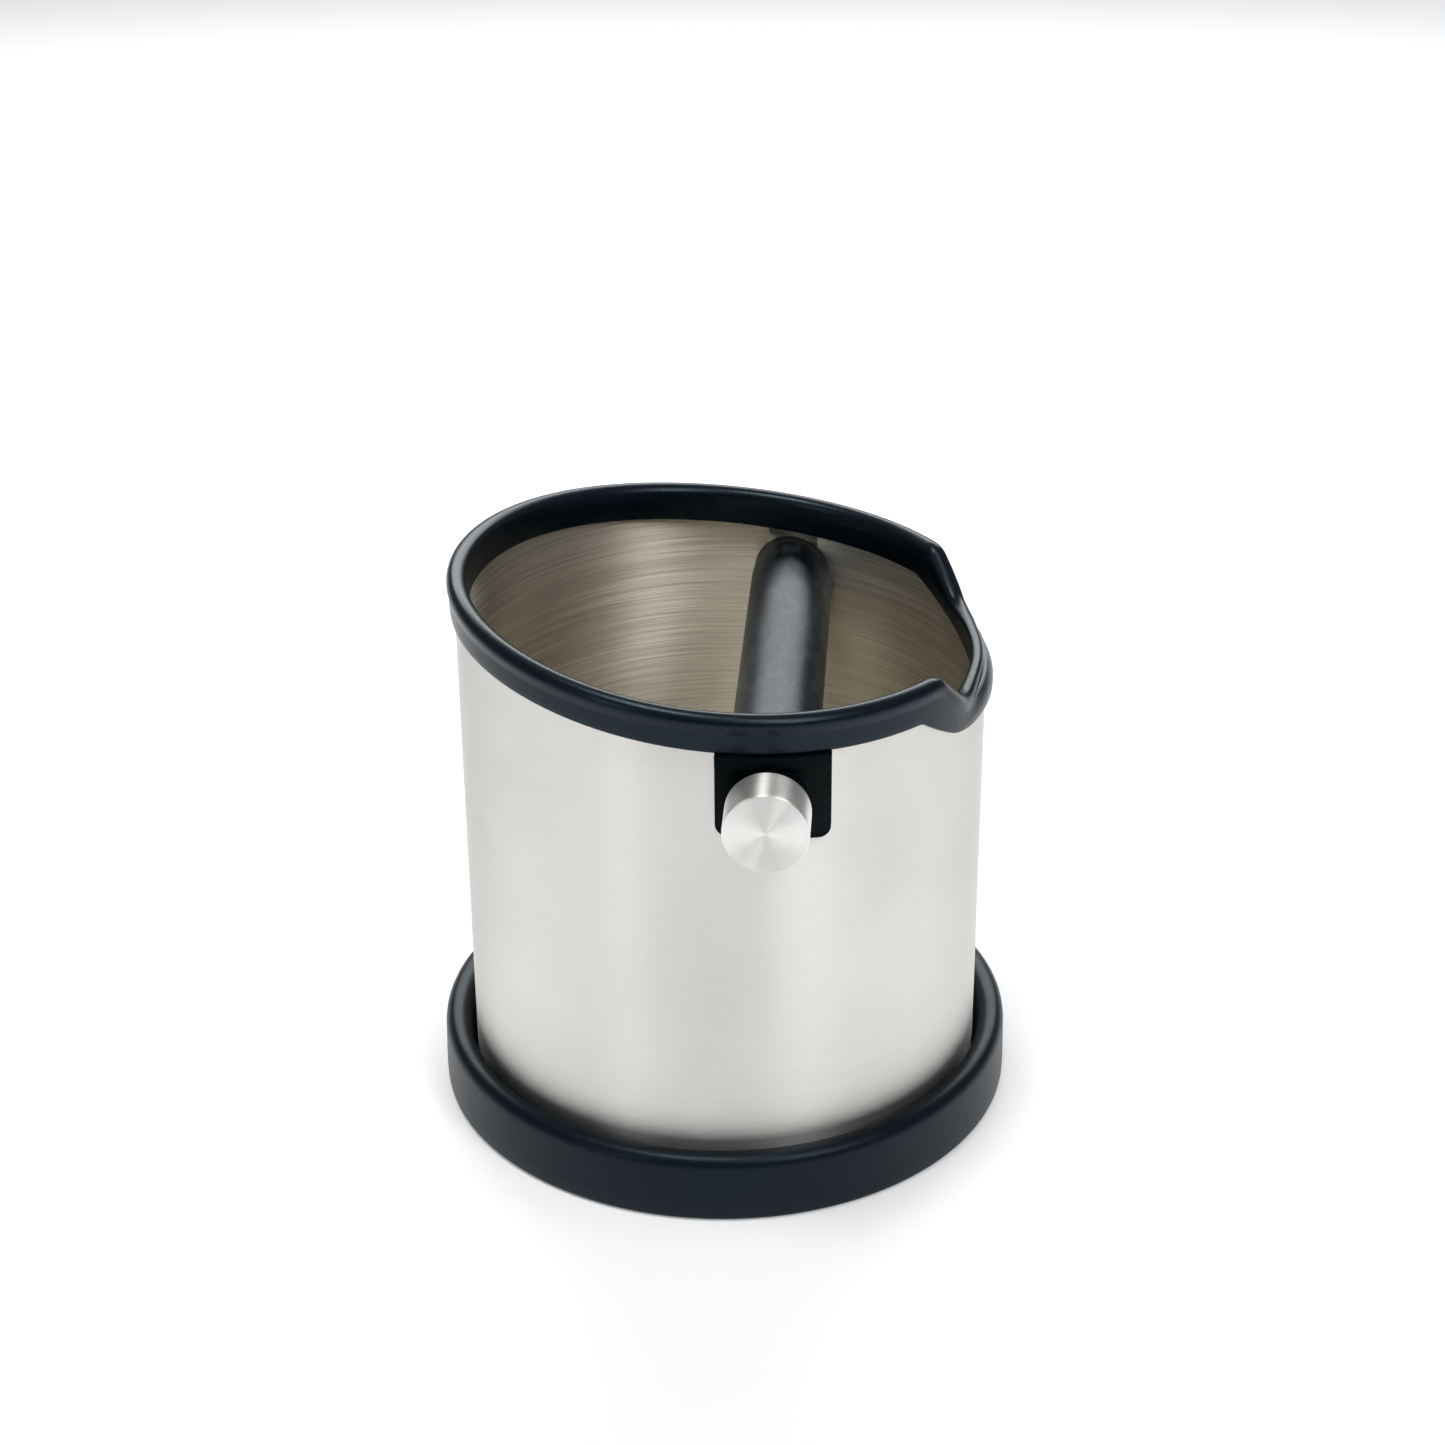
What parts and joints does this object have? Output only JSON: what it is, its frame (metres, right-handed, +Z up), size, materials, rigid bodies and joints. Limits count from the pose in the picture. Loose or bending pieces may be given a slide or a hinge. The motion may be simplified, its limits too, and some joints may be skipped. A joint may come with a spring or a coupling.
{
  "type": "espresso knock box",
  "caption": "Round steel can with a slanted, spouted rubber rim, a rubber-sleeved knock bar held by turned knobs, and a rubber base boot.",
  "frame": {"origin": "centre of the boot's underside, on the can's axis", "axes": "+Z up, +X towards the spout and the low side of the mouth, Y along the knock bar; the front knob is at -Y"},
  "size_m": [0.169, 0.1808, 0.165],
  "materials": {
    "can_steel": "satin, brushed round the can",
    "knob_steel": "fine turned",
    "rod_steel": "bright drawn",
    "boot_rubber": "matt moulded",
    "rim_rubber": "satin moulded",
    "sleeve_rubber": "satin, lightly marked by use",
    "bush_nylon": "black nylon"
  },
  "bodies": {
    "boot": {"base_boot": "boot_rubber"},
    "can": {"can_wall": "can_steel", "can_floor": "can_steel", "front_pad": "rim_rubber", "front_spacer": "bush_nylon", "front_bush": "bush_nylon", "rear_pad": "rim_rubber", "rear_spacer": "bush_nylon", "rear_bush": "bush_nylon"},
    "rim": {"rubber_rim": "rim_rubber"},
    "bar": {"bar_rod": "rod_steel", "bar_sleeve": "sleeve_rubber"},
    "front_knob_set": {"front_knob": "knob_steel", "front_stud": "rod_steel", "front_washer": "rod_steel"},
    "rear_knob_set": {"rear_knob": "knob_steel", "rear_stud": "rod_steel", "rear_washer": "rod_steel"}
  },
  "joints": [
    {"name": "can_lift", "type": "slide", "parent": "boot", "child": "can", "axis": [0, 0, 1], "range_m": [0, 0.03]},
    {"name": "rim_lift", "type": "slide", "parent": "can", "child": "rim", "axis": [0, 0, 1], "range_m": [0, 0.04]},
    {"name": "bar_spin", "type": "hinge", "parent": "can", "child": "bar", "pos_m": [0.0171, 0, 0.129], "axis": [0, 1, 0], "continuous": true},
    {"name": "front_knob_unscrew", "type": "slide", "parent": "bar", "child": "front_knob_set", "axis": [0, -1, 0], "range_m": [0, 0.016]},
    {"name": "rear_knob_unscrew", "type": "slide", "parent": "bar", "child": "rear_knob_set", "axis": [0, 1, 0], "range_m": [0, 0.016]}
  ]
}
